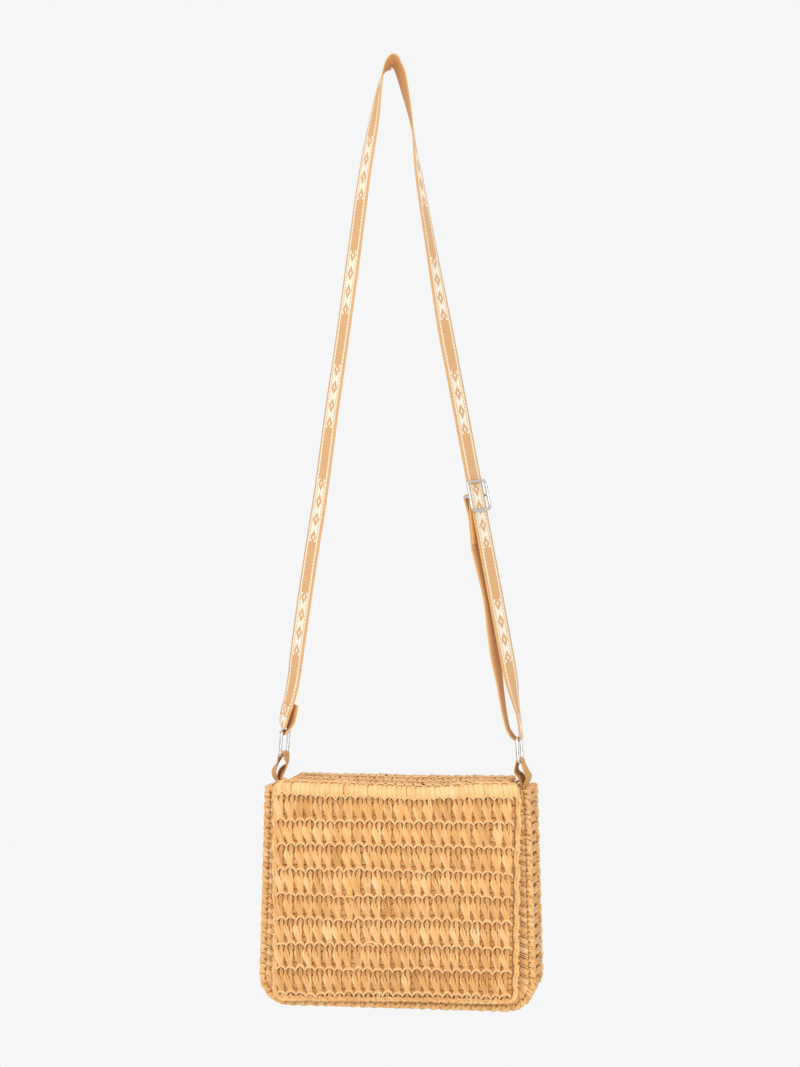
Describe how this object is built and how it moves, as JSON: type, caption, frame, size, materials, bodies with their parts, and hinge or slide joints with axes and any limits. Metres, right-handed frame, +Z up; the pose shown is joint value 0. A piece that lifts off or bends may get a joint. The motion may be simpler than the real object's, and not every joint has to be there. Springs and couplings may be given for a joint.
{
  "type": "crossbody purse",
  "caption": "Small crocheted straw crossbody purse with a full front flap, hanging by its adjustable patterned webbing strap.",
  "frame": {"origin": "hanging point: in the middle of the strap's width, level with the highest point of its inner face", "axes": "+Z up, the purse's front faces -Y, +X to the right seen from the front"},
  "size_m": [0.233, 0.0687, 0.8034],
  "materials": {
    "straw": "crocheted paper straw yarn, slightly shiny, open stitches",
    "cotton": "plain woven cotton lining",
    "webbing": "flat jacquard webbing, tan with a cream geometric motif on its outer face, plain on the inner face",
    "steel": "polished nickel plated wire"
  },
  "bodies": {
    "strap": {"strap_long_run": "webbing", "strap_back_run": "webbing"},
    "slider": {"slider_frame": "steel", "slider_centre_bar": "steel", "strap_sewn_end": "webbing"},
    "left_ring": {"left_ring": "steel"},
    "left_tab": {"left_tab": "webbing"},
    "right_ring": {"right_ring": "steel"},
    "right_tab": {"right_tab": "webbing"},
    "bag": {"front_panel": "straw", "back_panel": "straw", "gusset": "straw", "front_edging": "straw", "back_edging": "straw", "bag_lining": "cotton", "flap_back_fold": "straw", "snap_socket": "steel", "snap_socket_washer": "steel"},
    "flap_top": {"flap_top_panel": "straw", "flap_top_lining": "cotton", "flap_front_fold": "straw"},
    "flap_front": {"flap_front_panel": "straw", "flap_front_lining": "cotton", "flap_edging": "straw", "snap_stud": "steel"}
  },
  "joints": [
    {"name": "slider_slide", "type": "slide", "parent": "strap", "child": "slider", "axis": [-0.1863, 0, 0.9825], "range_m": [-0.1, 0.1], "deforming": ["strap_back_run"]},
    {"name": "bag_sway", "type": "hinge", "parent": "strap", "child": "right_ring", "pos_m": [0.1073, 0, -0.57602], "axis": [0, 1, 0], "range_deg": [-15, 15]},
    {"name": "left_ring_turn", "type": "hinge", "parent": "strap", "child": "left_ring", "pos_m": [-0.0931, 0, -0.57302], "axis": [0, 1, 0], "range_deg": [-15, 15]},
    {"name": "right_tab_turn", "type": "hinge", "parent": "right_ring", "child": "right_tab", "pos_m": [0.1087, 0, -0.59598], "axis": [0, 1, 0], "range_deg": [-15, 15]},
    {"name": "left_tab_turn", "type": "hinge", "parent": "left_ring", "child": "left_tab", "pos_m": [-0.0945, 0, -0.59298], "axis": [0, 1, 0], "range_deg": [-15, 15]},
    {"name": "bag_swing", "type": "hinge", "parent": "right_tab", "child": "bag", "pos_m": [0.1125, 0, -0.624], "axis": [-1, 0, 0], "range_deg": [-30, 12]},
    {"name": "flap_lift", "type": "hinge", "parent": "bag", "child": "flap_top", "pos_m": [0.0065, 0.0363, -0.6142], "axis": [-1, 0, 0], "range_deg": [0, 12]},
    {"name": "flap_open", "type": "hinge", "parent": "flap_top", "child": "flap_front", "pos_m": [0.0065, -0.0257, -0.6142], "axis": [-1, 0, 0], "range_deg": [0, 105]}
  ],
  "couplings": [
    {"joint": "left_ring_turn", "follows": "bag_sway", "ratio": 1},
    {"joint": "right_tab_turn", "follows": "bag_sway", "ratio": -0.986},
    {"joint": "left_tab_turn", "follows": "bag_sway", "ratio": -0.986}
  ]
}
